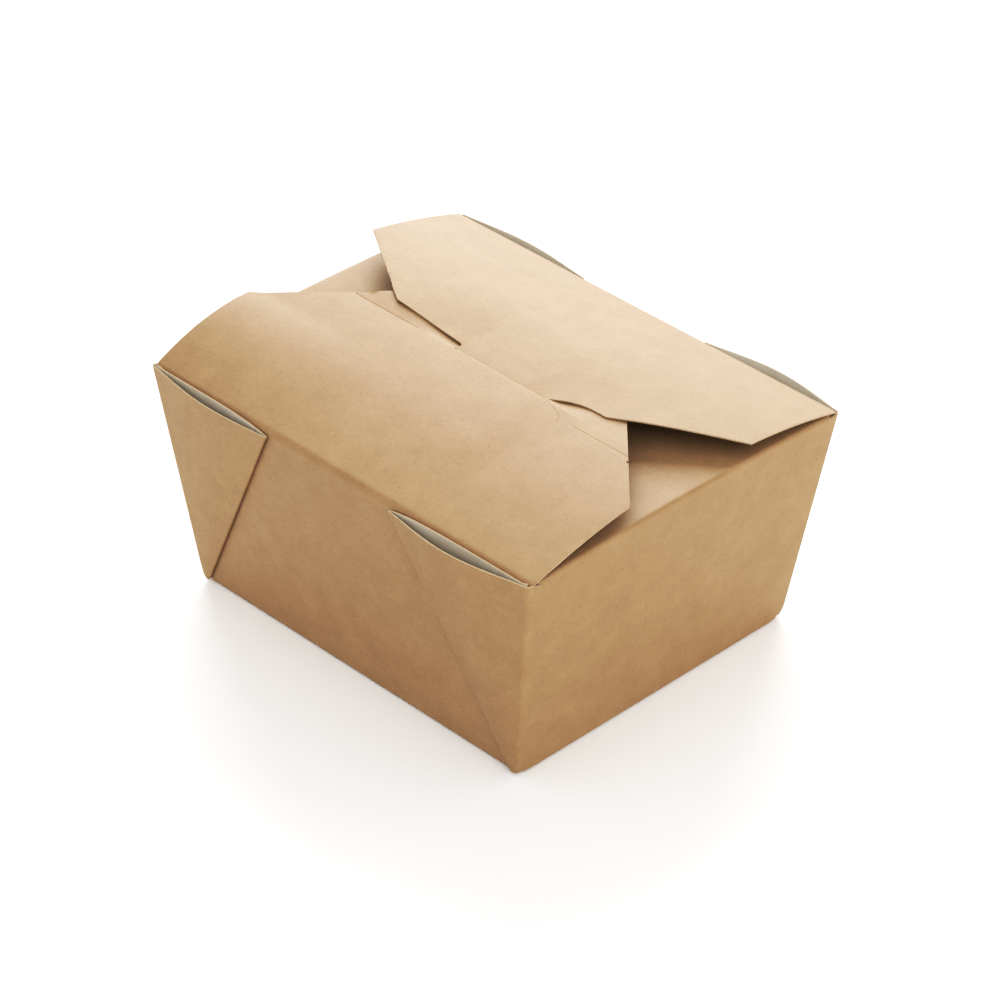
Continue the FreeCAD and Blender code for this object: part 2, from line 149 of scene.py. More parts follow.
def kraft_board(name, light, dark):
    """The brown outside of the board, between a light and a dark tone of the pulp."""
    material = bpy.data.materials.new(name)
    tree, shader, noise, ramp, blend_colour = kraft_nodes(material)
    clouds = noise(140.0, 5.0, 0.62)
    base = ramp(clouds, ((0.25, dark), (0.78, light)))
    mottle = ramp(noise(700.0, 3.0, 0.6), ((0.32, grey(0.95)), (0.70, grey(1.0))))
    base = blend_colour("MULTIPLY", 1.0, base, mottle)
    grain = ramp(noise(3600.0, 2.0), ((0.30, grey(0.84)), (0.66, grey(1.0))))
    base = blend_colour("MULTIPLY", 1.0, base, grain)
    for turn in (0.2, 1.3, 2.2):
        fibres = noise(1.0, 2.0, 0.6, (420.0, 2600.0, 2600.0), turn)
        base = blend_colour(
            "MULTIPLY", 0.40, base, ramp(fibres, ((0.26, grey(0.80)), (0.40, grey(1.0))))
        )
        base = blend_colour(
            "SCREEN", 0.25, base, ramp(fibres, ((0.66, grey(0.0)), (0.80, grey(0.16))))
        )
    specks = noise(1500.0, 1.0)
    base = blend_colour(
        "MULTIPLY", 0.6, base, ramp(specks, ((0.20, SPECK_BROWN), (0.27, grey(1.0))))
    )
    tree.links.new(base, shader.inputs["Base Color"])
    shader.inputs["Roughness"].default_value = 0.55
    shader.inputs["Specular IOR Level"].default_value = 0.5
    relief = tree.nodes.new("ShaderNodeBump")
    relief.inputs["Strength"].default_value = 0.35
    relief.inputs["Distance"].default_value = 0.04 * MM
    tree.links.new(noise(2200.0, 4.0, 0.65), relief.inputs["Height"])
    cockle = tree.nodes.new("ShaderNodeBump")
    cockle.inputs["Strength"].default_value = 0.3
    cockle.inputs["Distance"].default_value = 0.3 * MM
    tree.links.new(noise(42.0, 2.0, 0.4), cockle.inputs["Height"])
    tree.links.new(relief.outputs["Normal"], cockle.inputs["Normal"])
    tree.links.new(cockle.outputs["Normal"], shader.inputs["Normal"])
    return material


def coated_face(name):
    """The thin pale coating on the inside of the board."""
    material = bpy.data.materials.new(name)
    tree, shader, noise, ramp, blend_colour = kraft_nodes(material)
    base = ramp(noise(160.0, 3.0), ((0.3, COATING_DARK), (0.7, COATING_LIGHT)))
    grain = ramp(noise(2600.0, 2.0), ((0.3, grey(0.92)), (0.7, grey(1.0))))
    base = blend_colour("MULTIPLY", 0.8, base, grain)
    tree.links.new(base, shader.inputs["Base Color"])
    shader.inputs["Roughness"].default_value = 0.6
    relief = tree.nodes.new("ShaderNodeBump")
    relief.inputs["Strength"].default_value = 0.25
    relief.inputs["Distance"].default_value = 0.03 * MM
    tree.links.new(noise(1500.0, 3.0), relief.inputs["Height"])
    tree.links.new(relief.outputs["Normal"], shader.inputs["Normal"])
    return material


def cut_edge(name):
    """The fibrous cut edge of the board, paler than its face."""
    material = bpy.data.materials.new(name)
    tree, shader, noise, ramp, blend_colour = kraft_nodes(material)
    base = ramp(noise(2400.0, 3.0), ((0.3, CUT_DARK), (0.7, CUT_LIGHT)))
    tree.links.new(base, shader.inputs["Base Color"])
    shader.inputs["Roughness"].default_value = 0.9
    return material


OUTSIDE = kraft_board("kraft_board_outside", PULP_LIGHT, PULP_DARK)
INSIDE = coated_face("coated_board_inside")
EDGE = cut_edge("board_cut_edge")


def board(name, spots, faces, body):
    """A piece of board around a middle surface: brown side out, coated side in, pale cut edges."""
    mesh = bpy.data.meshes.new(name)
    mesh.from_pydata(spots, [], faces)
    mesh.update()
    mesh.shade_smooth()
    piece = bpy.data.objects.new(name, mesh)
    bpy.context.scene.collection.objects.link(piece)
    for material in (OUTSIDE, INSIDE, EDGE):
        mesh.materials.append(material)
    thickness = piece.modifiers.new("thickness", "SOLIDIFY")
    thickness.thickness = CARD
    thickness.offset = 0.0
    thickness.material_offset = 1
    thickness.material_offset_rim = 2
    worn = piece.modifiers.new("soft_cut_edges", "BEVEL")
    worn.width = WORN_EDGE
    worn.segments = 1
    worn.limit_method = "ANGLE"
    worn.angle_limit = WORN_ANGLE
    worn.material = 2
    sharp = piece.modifiers.new("sharp_edges", "EDGE_SPLIT")
    sharp.split_angle = SHARP_ANGLE
    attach(piece, body)
    return piece


def spread(first, last, count):
    """count evenly spaced values from first to last, both included."""
    return [first + (last - first) * step / (count - 1) for step in range(count)]


def half_turn(centre, radius, start, steps):
    """Spots on a half circle about centre, from the angle start, turning right."""
    return [
        (centre[0] + radius * math.cos(start - angle), centre[1] + radius * math.sin(start - angle))
        for angle in spread(0.0, math.pi, steps)
    ]


def gusset_path(reach, bulge):
    """The folded section of one gusset, from the long wall round to the end wall.

    Spots are (how far from the end wall's outside, how far out from the long wall's outside,
    share of the drop at the tip).
    """
    layer = (CARD + LAYER_GAP) / 2
    near = CORNER_BEND + WEB_START + layer
    far = max(reach - layer - CARD / 2, near + 0.3 * MM)
    wall_turn = [(*spot, 0.0) for spot in half_turn((near, LAYER_GAP / 2), layer, -math.pi / 2, 9)]
    inner_level = CARD / 2 + LAYER_GAP
    outer_level = inner_level + 2 * layer
    inner_run = [
        (along, inner_level, (along / far) ** DROP_CURVE) for along in spread(near, far, 14)[1:-1]
    ]
    middle = (inner_level + outer_level) / 2
    tip_turn = [(2 * far - a, b, 1.0) for a, b in half_turn((far, middle), layer, -math.pi / 2, 9)]
    bend_start = CARD / 2 + CORNER_BEND
    outer_run = []
    for part in spread(0.0, 1.0, 22)[1:-1]:
        along = far + (bend_start - far) * part
        out = outer_level + bulge * math.sin(math.pi * part) ** BULGE_CURVE
        outer_run.append((along, out, 1.0 - part))
    corner = [
        (bend_start - CORNER_BEND * math.sin(angle),
         outer_level - CORNER_BEND * (1 - math.cos(angle)), 0.0)
        for angle in spread(0.0, math.pi / 2, 6)
    ]
    return wall_turn + inner_run + tip_turn + outer_run + corner


def tray_section(half_length, half_width, reaches, bulges):
    """One closed section of the walls and gussets: place, kind and share of drop of each spot."""
    section = []
    corners = (
        (1, -1, "front_right", False),
        (1, 1, "back_right", True),
        (-1, 1, "back_left", False),
        (-1, -1, "front_left", True),
    )
    for side_x, side_y, corner, backwards in corners:
        path = [
            (side_x * (half_length - a), side_y * (half_width + b), "web", drop)
            for a, b, drop in gusset_path(reaches[corner], bulges[corner])
        ]
        if backwards:
            path.reverse()
        section.append(path)
    ring = []
    for number, path in enumerate(section):
        following = section[(number + 1) % 4]
        ring.extend(path)
        start, end = path[-1], following[0]
        kind = "end" if number % 2 == 0 else "long"
        for part in spread(0.0, 1.0, 26)[1:-1]:
            ring.append((
                start[0] + (end[0] - start[0]) * part,
                start[1] + (end[1] - start[1]) * part,
                kind,
                0.0,
            ))
    return ring


def round_corner(x, y, level):
    """Pulls a spot in where the tray's bottom corners are rounded."""
    share = max(0.0, 1.0 - level / BOTTOM_ROUND_HEIGHT)
    radius = BOTTOM_ROUND * share ** 2
    if radius <= 0:
        return x, y
    reach_x = BASE_LENGTH / 2 + LENGTH_LEAN * level - radius
    reach_y = BASE_WIDTH / 2 + WIDTH_LEAN * level - radius
    over_x, over_y = abs(x) - reach_x, abs(y) - reach_y
    if over_x <= 0 or over_y <= 0:
        return x, y
    shrink = max(over_x, over_y) / math.hypot(over_x, over_y)
    return (
        math.copysign(reach_x + over_x * shrink, x),
        math.copysign(reach_y + over_y * shrink, y),
    )


def end_bow(y):
    """How far the crease of an end wall bows up at a place along it."""
    return END_BOW * max(0.0, 1.0 - (y / (TOP_WIDTH / 2)) ** 2)


def fold_rows(corner, wall_angle, flap_angle, radius, steps):
    """Spots (across, up) around a fold, from the wall's line to the flap's line, turning right."""
    turn = wall_angle - flap_angle
    back = radius * math.tan(turn / 2)
    start = (corner[0] - back * math.cos(wall_angle), corner[1] - back * math.sin(wall_angle))
    centre = (start[0] + radius * math.sin(wall_angle), start[1] - radius * math.cos(wall_angle))
    return [
        (centre[0] - radius * math.sin(angle), centre[1] + radius * math.cos(angle))
        for angle in spread(wall_angle, flap_angle, steps)
    ]


TOP_REACHES = {
    "front_left": REACH_FRONT_LEFT,
    "front_right": REACH_FRONT_RIGHT,
    "back_left": REACH_BACK,
    "back_right": REACH_BACK,
}
TOP_BULGES = {
    "front_left": 0.75 * GUSSET_BULGE,
    "front_right": 1.1 * GUSSET_BULGE,
    "back_left": 0.75 * GUSSET_BULGE,
    "back_right": 1.1 * GUSSET_BULGE,
}

foot = tray_section(
    BASE_LENGTH / 2 + LENGTH_LEAN * BASE_FOLD,
    BASE_WIDTH / 2 + WIDTH_LEAN * BASE_FOLD,
    dict.fromkeys(TOP_REACHES, GUSSET_FOOT),
    dict.fromkeys(TOP_REACHES, 0.0),
)
rim = tray_section(TOP_LENGTH / 2, TOP_WIDTH / 2, TOP_REACHES, TOP_BULGES)
tray_rows = [0.0, 0.006, 0.014, 0.025, 0.04, 0.06, 0.08] + spread(0.11, 1.0, 22)
tray_spots = []
for share in tray_rows:
    for (low_x, low_y, *_), (top_x, top_y, kind, drop) in zip(foot, rim):
        if kind == "web" and top_y < 0:
            top = TRAY_HEIGHT + FRONT_STAND - FRONT_DROP * drop
        elif kind == "web":
            top = TRAY_HEIGHT + BACK_STAND - BACK_DROP * drop
        elif kind == "end":
            top = END_TOP + end_bow(top_y)
            top_x -= math.copysign(LENGTH_LEAN * (TRAY_HEIGHT - CARD / 2 - END_TOP), top_x)
        else:
            top = FRONT_TOP if top_y < 0 else BACK_TOP
            top_y -= math.copysign(WIDTH_LEAN * (TRAY_HEIGHT - CARD / 2 - top), top_y)
        level = BASE_FOLD + (top - BASE_FOLD) * share
        x = low_x + (top_x - low_x) * share
        y = low_y + (top_y - low_y) * share
        tray_spots.append((*round_corner(x, y, level), level))
count = len(foot)
tray_faces = [
    (row * count + spot, row * count + (spot + 1) % count,
     (row + 1) * count + (spot + 1) % count, (row + 1) * count + spot)
    for row in range(len(tray_rows) - 1)
    for spot in range(count)
]
tray = board("tray_walls", tray_spots, tray_faces, "carton")
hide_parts("carton")

base_ring = []
base_sides = (
    (BASE_LENGTH / 2, -BASE_WIDTH / 2, BASE_LENGTH / 2, BASE_WIDTH / 2),
    (BASE_LENGTH / 2, BASE_WIDTH / 2, -BASE_LENGTH / 2, BASE_WIDTH / 2),
    (-BASE_LENGTH / 2, BASE_WIDTH / 2, -BASE_LENGTH / 2, -BASE_WIDTH / 2),
    (-BASE_LENGTH / 2, -BASE_WIDTH / 2, BASE_LENGTH / 2, -BASE_WIDTH / 2),
)
for start_x, start_y, end_x, end_y in base_sides:
    for part in spread(0.0, 1.0, 61)[:-1]:
        base_ring.append((start_x + (end_x - start_x) * part, start_y + (end_y - start_y) * part))
base_spots = []
base_rows = spread(0.0, math.pi / 2, 6)
for angle in base_rows:
    inset = BASE_FOLD * (1 - math.cos(angle)) + CARD / 2
    level = BASE_FOLD - (BASE_FOLD - CARD / 2) * math.sin(angle)
    grow_x = 1 + 2 * (LENGTH_LEAN * level - inset) / BASE_LENGTH
    grow_y = 1 + 2 * (WIDTH_LEAN * level - inset) / BASE_WIDTH
    base_spots.extend((*round_corner(x * grow_x, y * grow_y, level), level) for x, y in base_ring)
count = len(base_ring)
last = (len(base_rows) - 1) * count
base_edge = base_spots[last:last + count]
for scale in (0.97, 0.6, 0.25):
    base_spots.extend((x * scale, y * scale, CARD / 2) for x, y, level in base_edge)
base_faces = [
    (row * count + spot, (row + 1) * count + spot,
     (row + 1) * count + (spot + 1) % count, row * count + (spot + 1) % count)
    for row in range(len(base_rows) + 2)
    for spot in range(count)
]
base_faces.append(tuple(range((len(base_rows) + 2) * count, (len(base_rows) + 3) * count))[::-1])
base = board("tray_base", base_spots, base_faces, "carton")
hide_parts("carton")


# End flaps: the two flaps of the same card that are folded in first, level, their far corners
# cut off, brown side up. Each is held only by its crease on the end wall, which bows up a
# little in the middle.

END_LENGTH = 42.0 * MM
END_SIDE_GAP = 2.75 * MM
END_BEVEL = 16.0 * MM
END_SAG = 1.2 * MM
END_CREASE_MORE = 1.9 * MM
END_CREASE_NEAR = 0.3 * MM
END_CREASE_FAR = 6.0 * MM
END_STEP = 2.0 * MM
TUCK = 1.0 * MM
TUCK_BEND = 0.8 * MM
TUCK_SLOPE = 1.2
TUCK_OUT = 0.015 * MM
TUCK_ROWS = (0.15 * MM, 0.68 * MM, TUCK_BEND)
EDGE_CLEAR = 0.12 * MM
SAME_SPOT = 1e-7


def inside(spot, outline):
    """True where a spot lies within a closed outline."""
    x, y = spot
    within = False
    for (ax, ay), (bx, by) in zip(outline, outline[1:] + outline[:1]):
        if (ay > y) != (by > y) and x < (bx - ax) * (y - ay) / (by - ay) + ax:
            within = not within
    return within


def off_edge(spot, outline):
    """How far a spot lies from a closed outline."""
    nearest = 1.0
    for (ax, ay), (bx, by) in zip(outline, outline[1:] + outline[:1]):
        run = (bx - ax) ** 2 + (by - ay) ** 2
        part = ((spot[0] - ax) * (bx - ax) + (spot[1] - ay) * (by - ay)) / run
        part = max(0.0, min(1.0, part))
        off_x = spot[0] - ax - part * (bx - ax)
        off_y = spot[1] - ay - part * (by - ay)
        nearest = min(nearest, math.hypot(off_x, off_y))
    return nearest


def split(outline, step):
    """The outline with its long edges cut into steps."""
    spots = []
    for (ax, ay), (bx, by) in zip(outline, outline[1:] + outline[:1]):
        parts = max(1, round(math.hypot(bx - ax, by - ay) / step))
        spots.extend((ax + (bx - ax) * n / parts, ay + (by - ay) * n / parts) for n in range(parts))
    return spots


def die_cut(outline, rows, step, slits=()):
    """A flat piece cut to an outline, with spots along rows so that it can be folded there.

    Gives flat spots (across, along) and triangles that face up.
    """
    edges = [split(outline, step)] + [list(slit) for slit in slits]
    spots = []
    lines = []
    for ring in edges:
        first = len(spots)
        spots.extend(Vector(spot) for spot in ring)
        lines.extend((first + n, first + (n + 1) % len(ring)) for n in range(len(ring)))
    left = min(x for x, y in outline)
    right = max(x for x, y in outline)
    across = spread(left, right, round((right - left) / step) + 1)
    for row in rows:
        for x in across:
            spot = (x, row)
            if inside(spot, outline) and min(off_edge(spot, ring) for ring in edges) > EDGE_CLEAR:
                spots.append(Vector(spot))
    found, _, triangles, _, _, _ = delaunay_2d_cdt(spots, lines, [], 0, SAME_SPOT)
    kept = []
    for triangle in triangles:
        middle = sum((found[n] for n in triangle), Vector((0.0, 0.0))) / 3
        if inside(middle, outline) and not any(inside(middle, slit) for slit in slits):
            kept.append(tuple(triangle))
    return found, kept


def folded(along, fold, fold_length, wall_angle):
    """Where a spot before the flap lies: around the fold, or below it on the wall's line."""
    if along < -fold_length:
        below = -fold_length - along
        tucked = TUCK_SLOPE * max(0.0, below - TUCK_BEND) - TUCK_OUT
        across = fold[0][0] - below * math.cos(wall_angle) + tucked
        return across, fold[0][1] - below * math.sin(wall_angle)
    steps = len(fold) - 1
    place = (along + fold_length) / fold_length * steps
    first = min(int(place), steps - 1)
    part = place - first
    low, high = fold[first], fold[first + 1]
    return low[0] + (high[0] - low[0]) * part, low[1] + (high[1] - low[1]) * part


for side in (-1, 1):
    half = TOP_WIDTH / 2 - END_SIDE_GAP
    end_angle = math.pi / 2 + math.atan(LENGTH_LEAN)
    end_edge = (-(TOP_LENGTH / 2 - CARD / 2), TRAY_HEIGHT - CARD / 2)
    fold = fold_rows(end_edge, end_angle, 0.0, END_FOLD, 7)
    fold_length = END_FOLD * end_angle
    start = fold[-1]
    length = END_LENGTH - (start[0] + TOP_LENGTH / 2)
    end_outline = [
        (-half, -fold_length - TUCK),
        (half + END_CREASE_MORE, -fold_length - TUCK),
        (half + END_CREASE_MORE, END_CREASE_NEAR),
        (half, END_CREASE_FAR),
        (half, length - END_BEVEL),
        (half - END_BEVEL, length),
        (END_BEVEL - half, length),
        (-half, length - END_BEVEL),
    ]
    end_rows = spread(-fold_length, 0.0, 7) + spread(1.0 * MM, length, 30)
    end_rows += [-fold_length - below for below in TUCK_ROWS]
    flat, end_faces = die_cut(end_outline, end_rows, END_STEP)
    end_spots = []
    for across, along in flat:
        if along < 0:
            inward, level = folded(along, fold, fold_length, end_angle)
        else:
            inward = start[0] + along
            level = start[1] - END_SAG * (along / length) ** 2
        level += end_bow(across) * (1 - max(along, 0.0) / length)
        end_spots.append((-side * inward, across, level))
    if side < 0:
        end_faces = [face[::-1] for face in end_faces]
    end_name = "end_flap_right" if side > 0 else "end_flap_left"
    end_flap = board(end_name, end_spots, end_faces, "carton")
    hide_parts("carton")


# Slotted flap: the front flap of the same card, arched by the tongue that holds it down
# through its slit. A pressed score line lets its short tail give way. It is one sheet with
# the front wall, which bends into it in a soft round fold.

SLOTTED_INSET = 0.2 * MM
TUCK_INSET = 1.3 * MM
SLOTTED_FLARE = 0.7 * MM
RIGHT_CORNER_SHIFT = 1.7 * MM
SLOTTED_SIDE = 31.85 * MM
SLOTTED_CROWN = 7.0 * MM
ARCH_OFFSET = 5.0 * MM
SCORE_OFFSET = 2.2 * MM
SCORE_HALF_WIDTH = 0.25 * MM
SCORE_DEPTH = 0.07 * MM
TAIL_LENGTH = 14.2 * MM
NICK = 0.6 * MM
NICK_SETBACK = 2.1 * MM
RIGHT_SCORE_STEP = 3.2 * MM
RIGHT_SCORE_START = 32.0 * MM
RIGHT_NICK_STEP = 2.4 * MM
SLIT_SIDE_GAP = 0.06 * MM
SLIT_STEP = 0.45 * MM
SLIT_BACK = 0.35 * MM
TONGUE_LEFT = 11.75 * MM
TONGUE_RIGHT = 18.5 * MM
SLIT_BACK_RIGHT = 21.5 * MM
HOOK_WIDTH = 0.05 * MM
HOOK_SPOTS = (
    (21.5 * MM, 0.3 * MM),
    (24.1 * MM, 1.2 * MM),
    (26.6 * MM, 2.3 * MM),
    (27.8 * MM, 3.3 * MM),
    (28.3 * MM, 5.0 * MM),
)
FLAP_STEP = 1.5 * MM
TAIL_PRESS = 0.75 * MM
TAIL_PRESS_RUN = 2.5 * MM
TAIL_SLOPE = 0.085
LEFT_TAIL_START = 10.0 * MM
LEFT_TAIL_RUN = 22.0 * MM
LEFT_TAIL_RISE = 0.6 * MM
LEFT_TAIL_RISE_RUN = 6.0 * MM
RIGHT_TAIL_START = 19.0 * MM
RIGHT_TAIL_RUN = 14.0 * MM
RIGHT_TAIL_SLOPE = 0.056
TWIST = 0.003
TWIST_RUN = 8.0 * MM
MIDDLE_LIFT = 0.45 * MM
MIDDLE_LIFT_RUN = 28.0 * MM
MIDDLE_LIFT_END = 16.0 * MM
MIDDLE_LIFT_FADE = 16.0 * MM
LEFT_END_RISE = 1.4 * MM
LEFT_END_START = 15.0 * MM
LEFT_END_RUN = 50.0 * MM
LEFT_END_REACH = 33.0 * MM
LEFT_END_CURVE = 0.8

arch_rise = TOP_WIDTH / 2 - ARCH_OFFSET
arch_radius = (arch_rise ** 2 + SLOTTED_CROWN ** 2) / (2 * SLOTTED_CROWN)
arch_centre = TRAY_HEIGHT + SLOTTED_CROWN - arch_radius
arch_middle = arch_radius - CARD / 2


def ease(part):
    """A smooth step from 0 to 1."""
    part = max(0.0, min(1.0, part))
    return part * part * (3 - 2 * part)


def tail_fall(x, past):
    """How far the tail lies below the score line: pressed down in the middle by the tongue."""
    middle = TAIL_PRESS * min(1.0, past / TAIL_PRESS_RUN) + TAIL_SLOPE * past
    if x < 0:
        beside = ease((-x - LEFT_TAIL_START) / LEFT_TAIL_RUN)
        rise = LEFT_TAIL_RISE * min(1.0, past / LEFT_TAIL_RISE_RUN)
        return middle * (1 - beside) - rise * beside
    beside = ease((x - RIGHT_TAIL_START) / RIGHT_TAIL_RUN)
    return middle * (1 - beside) + RIGHT_TAIL_SLOPE * past * beside


def slotted_level(x, y):
    """Height of the middle of the slotted flap's card over a place."""
    arch = arch_centre + math.sqrt(arch_middle ** 2 - (min(y, -SCORE_OFFSET) + ARCH_OFFSET) ** 2)
    return arch - tail_fall(x, max(0.0, y + SCORE_OFFSET))


front_edge = -(TOP_WIDTH / 2 - CARD / 2)
long_wall_angle = math.pi / 2 + math.atan(WIDTH_LEAN)
slotted_angle = math.asin(arch_rise / arch_radius)
slotted_fold = fold_rows(
    (front_edge, slotted_level(0.0, front_edge)), long_wall_angle, slotted_angle, FRONT_FOLD, 9
)
slotted_fold_length = FRONT_FOLD * (long_wall_angle - slotted_angle)
slotted_start = slotted_fold[-1][0]
score_y = -SCORE_OFFSET
slit_front = score_y - CARD / 2 + SLIT_STEP
tail_y = TAIL_LENGTH - SCORE_OFFSET
slotted_corner = SLOTTED_SIDE - TOP_WIDTH / 2
hinge_half = TOP_LENGTH / 2 - SLOTTED_INSET
corner_half = hinge_half + SLOTTED_FLARE
tail_half = corner_half - (tail_y - slotted_corner)


def bevelled_edge(nick_y, shift):
    """One side of the slotted flap, with half a circle cut into its bevel at nick_y."""
    nick_half = corner_half - (nick_y - slotted_corner)
    spots = [(corner_half - shift, slotted_corner + shift)]
    for angle in spread(-math.pi / 4, -math.pi / 4 - math.pi, 7):
        spots.append((nick_half + NICK * math.cos(angle), nick_y + NICK * math.sin(angle)))
    return spots + [(tail_half, tail_y)]


slotted_outline = bevelled_edge(score_y - NICK_SETBACK - RIGHT_NICK_STEP, RIGHT_CORNER_SHIFT)
slotted_outline += [(-x, y) for x, y in reversed(bevelled_edge(score_y - NICK_SETBACK, 0.0))]
slotted_flat = [
    (-hinge_half, -0.8 * slotted_fold_length),
    (TUCK_INSET - hinge_half, -slotted_fold_length - TUCK),
    (hinge_half - TUCK_INSET, -slotted_fold_length - TUCK),
    (hinge_half, -0.8 * slotted_fold_length),
]
slotted_flat += [(x, y - slotted_start) for x, y in slotted_outline]
hook = [(x, slit_front - below) for x, below in HOOK_SPOTS]
hook_side = 0.7 * HOOK_WIDTH
slit = (
    [(-TONGUE_LEFT - SLIT_SIDE_GAP, slit_front), (TONGUE_RIGHT + SLIT_SIDE_GAP, slit_front)]
    + hook
    + [(x + hook_side, y + hook_side) for x, y in reversed(hook)]
    + [(TONGUE_RIGHT + SLIT_SIDE_GAP + 2 * HOOK_WIDTH, slit_front + HOOK_WIDTH)]
    + [(SLIT_BACK_RIGHT, SLIT_BACK), (-TONGUE_LEFT - SLIT_SIDE_GAP, SLIT_BACK)]
)
slit_flat = [(x, y - slotted_start) for x, y in slit]
slotted_rows = spread(-slotted_fold_length, 0.0, 9)
slotted_rows += [-slotted_fold_length - below for below in TUCK_ROWS]
slotted_rows += spread(0.8 * MM, slit_front - slotted_start - 1.0 * MM, 26)
right_score_y = score_y - RIGHT_SCORE_STEP
for row in (score_y, right_score_y):
    slotted_rows += [row - slotted_start + SCORE_HALF_WIDTH * n for n in (-2, -1, 0, 1, 2)]
slotted_rows += spread(score_y - slotted_start + 1.6 * MM, tail_y - slotted_start, 7)
flat, slotted_faces = die_cut(slotted_flat, slotted_rows, FLAP_STEP, [slit_flat])
slotted_spots = []
for across, along in flat:
    if along < 0:
        y, level = folded(along, slotted_fold, slotted_fold_length, long_wall_angle)
    else:
        y = slotted_start + along
        level = slotted_level(across, y)
        near_score = abs(y - (right_score_y if across > 0 else score_y)) / SCORE_HALF_WIDTH
        scored = across < -TONGUE_LEFT - MM or across > RIGHT_SCORE_START
        if near_score < 1 and scored:
            level -= SCORE_DEPTH * (1 - near_score)
        level -= TWIST * across * min(1.0, along / TWIST_RUN)
        fade = ease((across - MIDDLE_LIFT_END) / MIDDLE_LIFT_FADE)
        level += MIDDLE_LIFT * ease(along / MIDDLE_LIFT_RUN) * (1 - fade)
        left_end = max(0.0, min(1.0, (-across - LEFT_END_START) / LEFT_END_RUN))
        swell = math.sin(math.pi * min(1.0, along / LEFT_END_REACH)) ** LEFT_END_CURVE
        level += LEFT_END_RISE * left_end * swell
    slotted_spots.append((across, y, level))
slotted_flap = board("slotted_flap", slotted_spots, slotted_faces, "carton")
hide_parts("carton")


# Locking flap: the back flap of the same card, which closes last. Its tongue goes through the
# slit and holds under the slotted flap. The shoulder on its left ends in a small round notch,
# and the one on its right in a curve.

LOCK_INSET = 0.1 * MM
LOCK_SIDE = 31.25 * MM
LOCK_LIFT = 1.0 * MM
CREASE_GAP = 0.1 * MM
SHOULDER_LEFT = 36.5 * MM
SHOULDER_RIGHT = 35.3 * MM
LEFT_SHOULDER = (2.2 * MM, 1.0 * MM)
RIGHT_SHOULDER = 3.2 * MM
SHOULDER_END = 31.2 * MM
SHOULDER_RADIUS = 15.0 * MM
SHOULDER_TURN = math.radians(28)
TONGUE_ROOT = -0.5 * MM
TONGUE_SLOPE = 0.12
TONGUE_HIDDEN = 11.6 * MM
TONGUE_CORNER = 4.0 * MM
TONGUE_BEND = 5.0 * MM
NOTCH = 0.8 * MM
TONGUE_LEFT_FADE = 3.0 * MM
TONGUE_RIGHT_FADE = 5.0 * MM
TONGUE_REST = 0.85 * MM
REST_MIDDLE = 6.0 * MM
REST_HALF_WIDTH = 44.5 * MM
REST_FADE = 26.0 * MM
REST_START = 24.0 * MM
REST_RUN = 22.0 * MM
LOCK_TWIST = 0.026
LOCK_TWIST_START = 12.0 * MM
LOCK_TWIST_RUN = 30.0 * MM

axis_y = TOP_WIDTH / 2 - CARD / 2
axis_level = TRAY_HEIGHT + CREASE_GAP + CARD / 2
lock_crown = TRAY_HEIGHT + SLOTTED_CROWN + LOCK_LIFT - axis_level
lock_radius = (axis_y ** 2 + lock_crown ** 2) / (2 * lock_crown)
lock_centre = axis_level + lock_crown - lock_radius


def lock_level(x, y):
    """Height of the middle of the locking flap's card."""
    arch = lock_centre + math.sqrt(lock_radius ** 2 - y ** 2)
    past = TONGUE_ROOT - y
    dive = TONGUE_SLOPE * (past + math.hypot(past, TONGUE_BEND)) / 2
    left_side = max(0.0, min(1.0, (x + TONGUE_LEFT + TONGUE_LEFT_FADE) / TONGUE_LEFT_FADE))
    right_side = max(0.0, min(1.0, (TONGUE_RIGHT + TONGUE_RIGHT_FADE - x) / TONGUE_RIGHT_FADE))
    beside = min(left_side, right_side)
    middle = ease((REST_HALF_WIDTH - abs(x - REST_MIDDLE)) / REST_FADE)
    front = ease((REST_START - y) / REST_RUN)
    return arch - TONGUE_REST * middle * front - dive * beside


lock_angle = math.asin(axis_y / lock_radius)
lock_fold = [
    (-y, level)
    for y, level in fold_rows((-axis_y, axis_level), long_wall_angle, lock_angle, FLAP_FOLD, 9)
]
lock_start = lock_fold[-1][0]
tongue_end = slit_front - TONGUE_HIDDEN


def arc(centre, radius, first, last, steps):
    """Spots on an arc between two angles in degrees."""
    angles = [math.radians(angle) for angle in spread(first, last, steps)]
    return [(centre[0] + radius * math.cos(a), centre[1] + radius * math.sin(a)) for a in angles]


lock_half = TOP_LENGTH / 2 - LOCK_INSET
lock_outline = [(-lock_half, lock_start), (-lock_half, TOP_WIDTH / 2 - LOCK_SIDE)]
lock_outline += [(-SHOULDER_LEFT, LEFT_SHOULDER[0])]
lock_outline += arc((-TONGUE_LEFT - NOTCH, LEFT_SHOULDER[1] - NOTCH), NOTCH, 90, 0, 6)
lock_outline += arc(
    (-TONGUE_LEFT + TONGUE_CORNER, tongue_end + TONGUE_CORNER), TONGUE_CORNER, 180, 270, 7
)
lock_outline += arc(
    (TONGUE_RIGHT - TONGUE_CORNER, tongue_end + TONGUE_CORNER), TONGUE_CORNER, 270, 360, 7
)
lock_outline += [(TONGUE_RIGHT, slit_front)]
lock_outline += arc(
    (SHOULDER_END, RIGHT_SHOULDER - SHOULDER_RADIUS), SHOULDER_RADIUS,
    90 + math.degrees(SHOULDER_TURN), 90, 9,
)
lock_outline += [
    (SHOULDER_RIGHT, RIGHT_SHOULDER),
    (lock_half, TOP_WIDTH / 2 - LOCK_SIDE),
    (lock_half, lock_start),
]
lock_rows = spread(lock_start - 0.8 * MM, 1.4 * MM, 28)
lock_rows += spread(0.6 * MM, slit_front, 7) + spread(slit_front - MM, tongue_end, 8)
lock_flat, lock_faces = die_cut(lock_outline, lock_rows, FLAP_STEP)
